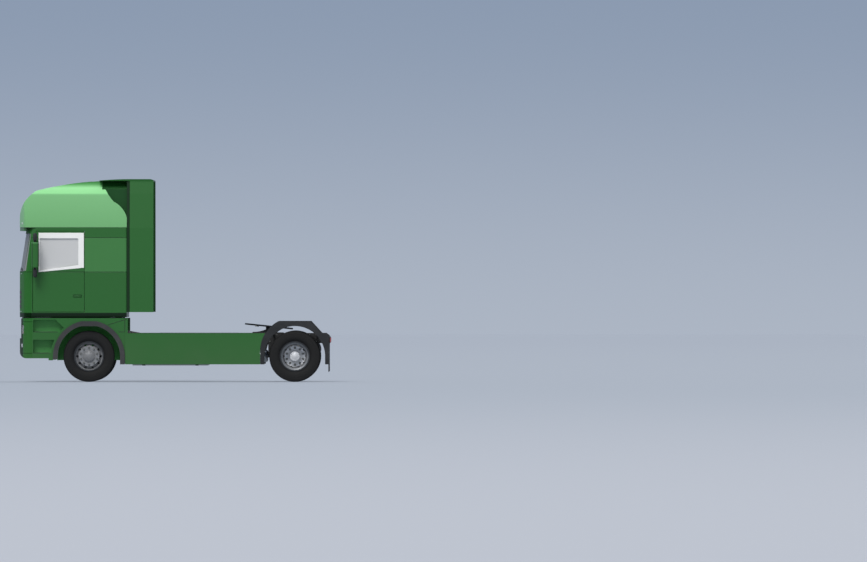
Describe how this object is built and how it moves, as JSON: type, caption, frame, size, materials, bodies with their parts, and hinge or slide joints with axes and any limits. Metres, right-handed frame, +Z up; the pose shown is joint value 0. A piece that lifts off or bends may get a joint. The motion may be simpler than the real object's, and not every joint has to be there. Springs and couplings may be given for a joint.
{
  "type": "semi truck tractor unit",
  "caption": "Cab-over road tractor with high-roof sleeper cab, air deflectors, side skirts, steered front wheels, twin rear wheels and a pitching fifth wheel.",
  "frame": {"origin": "on the ground, at the middle of the bounding box in plan", "axes": "+X to the tail (the truck faces -X), +Y to the vehicle's right, +Z up"},
  "size_m": [6.19, 3.11, 4.02],
  "materials": {
    "cab_paint": "satin green paint",
    "chassis_paint": "dark chassis paint",
    "engine_iron": "rough casting",
    "axle_iron": "painted casting",
    "tank_metal": "brushed",
    "trim_plastic": "grained dark plastic",
    "black_rubber": "matt",
    "tyre_rubber": "matt",
    "wheel_steel": "silver wheel paint",
    "window_glass": "tinted glass",
    "lamp_lens": "clear lens",
    "red_lens": "red lens",
    "dash_plastic": "soft grained plastic",
    "seat_fabric": "woven cloth",
    "plate_steel": "greased steel"
  },
  "bodies": {
    "chassis": {"frame_rails": "chassis_paint", "cross_members": "chassis_paint", "radiator": "tank_metal", "engine": "engine_iron", "propeller_shaft": "axle_iron", "front_axle": "axle_iron", "front_springs": "axle_iron", "rear_axle": "axle_iron", "rear_suspension": "axle_iron", "air_springs": "black_rubber", "bumper": "cab_paint", "headlamps": "lamp_lens", "side_panels": "cab_paint", "front_arch_trims": "trim_plastic", "front_arch_liners": "cab_paint", "side_skirts": "cab_paint", "fuel_tanks": "tank_metal", "air_tanks": "chassis_paint", "rear_mudguards": "trim_plastic", "fifth_wheel_mount": "chassis_paint", "catwalk": "tank_metal", "rear_lamps": "red_lens", "cab_mounts": "chassis_paint"},
    "cab": {"cab_floor": "cab_paint", "cab_front": "cab_paint", "cab_sides": "cab_paint", "cab_rear": "cab_paint", "cab_roof": "cab_paint", "windscreen": "window_glass", "roof_deflector": "cab_paint", "side_deflectors": "cab_paint", "dashboard": "dash_plastic", "seats": "seat_fabric", "bunk": "seat_fabric", "lower_grille": "trim_plastic", "coupling_panel": "chassis_paint"},
    "front_panel": {"front_panel": "cab_paint"},
    "steering_wheel": {"steering_wheel": "dash_plastic"},
    "fifth_wheel": {"fifth_wheel": "plate_steel"},
    "tie_rod": {"tie_rod": "axle_iron"},
    "door_left": {"door_left": "cab_paint", "door_glass_left": "window_glass", "mirror_left": "cab_paint"},
    "knuckle_left": {"knuckle_left": "axle_iron"},
    "front_wheel_left": {"tyre_front_left": "tyre_rubber", "rim_front_left": "wheel_steel"},
    "rear_wheels_left": {"tyres_rear_left": "tyre_rubber", "rims_rear_left": "wheel_steel"},
    "door_right": {"door_right": "cab_paint", "door_glass_right": "window_glass", "mirror_right": "cab_paint"},
    "knuckle_right": {"knuckle_right": "axle_iron"},
    "front_wheel_right": {"tyre_front_right": "tyre_rubber", "rim_front_right": "wheel_steel"},
    "rear_wheels_right": {"tyres_rear_right": "tyre_rubber", "rims_rear_right": "wheel_steel"}
  },
  "joints": [
    {"name": "cab_tilt", "type": "hinge", "parent": "chassis", "child": "cab", "pos_m": [-2.965, 0, 0.9], "axis": [0, -1, 0], "range_deg": [0, 60]},
    {"name": "front_panel_lift", "type": "hinge", "parent": "cab", "child": "front_panel", "pos_m": [-3.091, 0, 2.15], "axis": [0, 1, 0], "range_deg": [0, 80]},
    {"name": "fifth_wheel_pitch", "type": "hinge", "parent": "chassis", "child": "fifth_wheel", "pos_m": [1.84, 0, 1.04], "axis": [0, -1, 0], "range_deg": [0, 18]},
    {"name": "door_left_hinge", "type": "hinge", "parent": "cab", "child": "door_left", "pos_m": [-2.795, -1.233, 1.4], "axis": [0, 0, -1], "range_deg": [0, 75]},
    {"name": "door_right_hinge", "type": "hinge", "parent": "cab", "child": "door_right", "pos_m": [-2.795, 1.233, 1.4], "axis": [0, 0, 1], "range_deg": [0, 75]},
    {"name": "steer_left", "type": "hinge", "parent": "chassis", "child": "knuckle_left", "pos_m": [-1.695, -0.8505, 0.507], "axis": [0, 0, 1], "range_deg": [-40, 40]},
    {"name": "steer_right", "type": "hinge", "parent": "chassis", "child": "knuckle_right", "pos_m": [-1.695, 0.8505, 0.507], "axis": [0, 0, 1], "range_deg": [-40, 40]},
    {"name": "tie_rod_pivot", "type": "hinge", "parent": "knuckle_left", "child": "tie_rod", "pos_m": [-1.51, -0.8505, 0.385], "axis": [0, 0, 1], "range_deg": [-40, 40]},
    {"name": "steering_wheel_turn", "type": "hinge", "parent": "cab", "child": "steering_wheel", "pos_m": [-2.475, -0.62, 2.11], "axis": [0.5736, 0, 0.8192], "range_deg": [-720, 720]},
    {"name": "front_left_spin", "type": "hinge", "parent": "knuckle_left", "child": "front_wheel_left", "pos_m": [-1.695, -1.0255, 0.507], "axis": [0, 1, 0], "continuous": true},
    {"name": "front_right_spin", "type": "hinge", "parent": "knuckle_right", "child": "front_wheel_right", "pos_m": [-1.695, 1.0255, 0.507], "axis": [0, 1, 0], "continuous": true},
    {"name": "rear_left_spin", "type": "hinge", "parent": "chassis", "child": "rear_wheels_left", "pos_m": [2.385, -0.9105, 0.507], "axis": [0, 1, 0], "continuous": true},
    {"name": "rear_right_spin", "type": "hinge", "parent": "chassis", "child": "rear_wheels_right", "pos_m": [2.385, 0.9105, 0.507], "axis": [0, 1, 0], "continuous": true}
  ],
  "couplings": [
    {"joint": "steer_right", "follows": "steer_left", "ratio": 1},
    {"joint": "tie_rod_pivot", "follows": "steer_left", "ratio": -1},
    {"joint": "steering_wheel_turn", "follows": "steer_left", "ratio": 18}
  ]
}
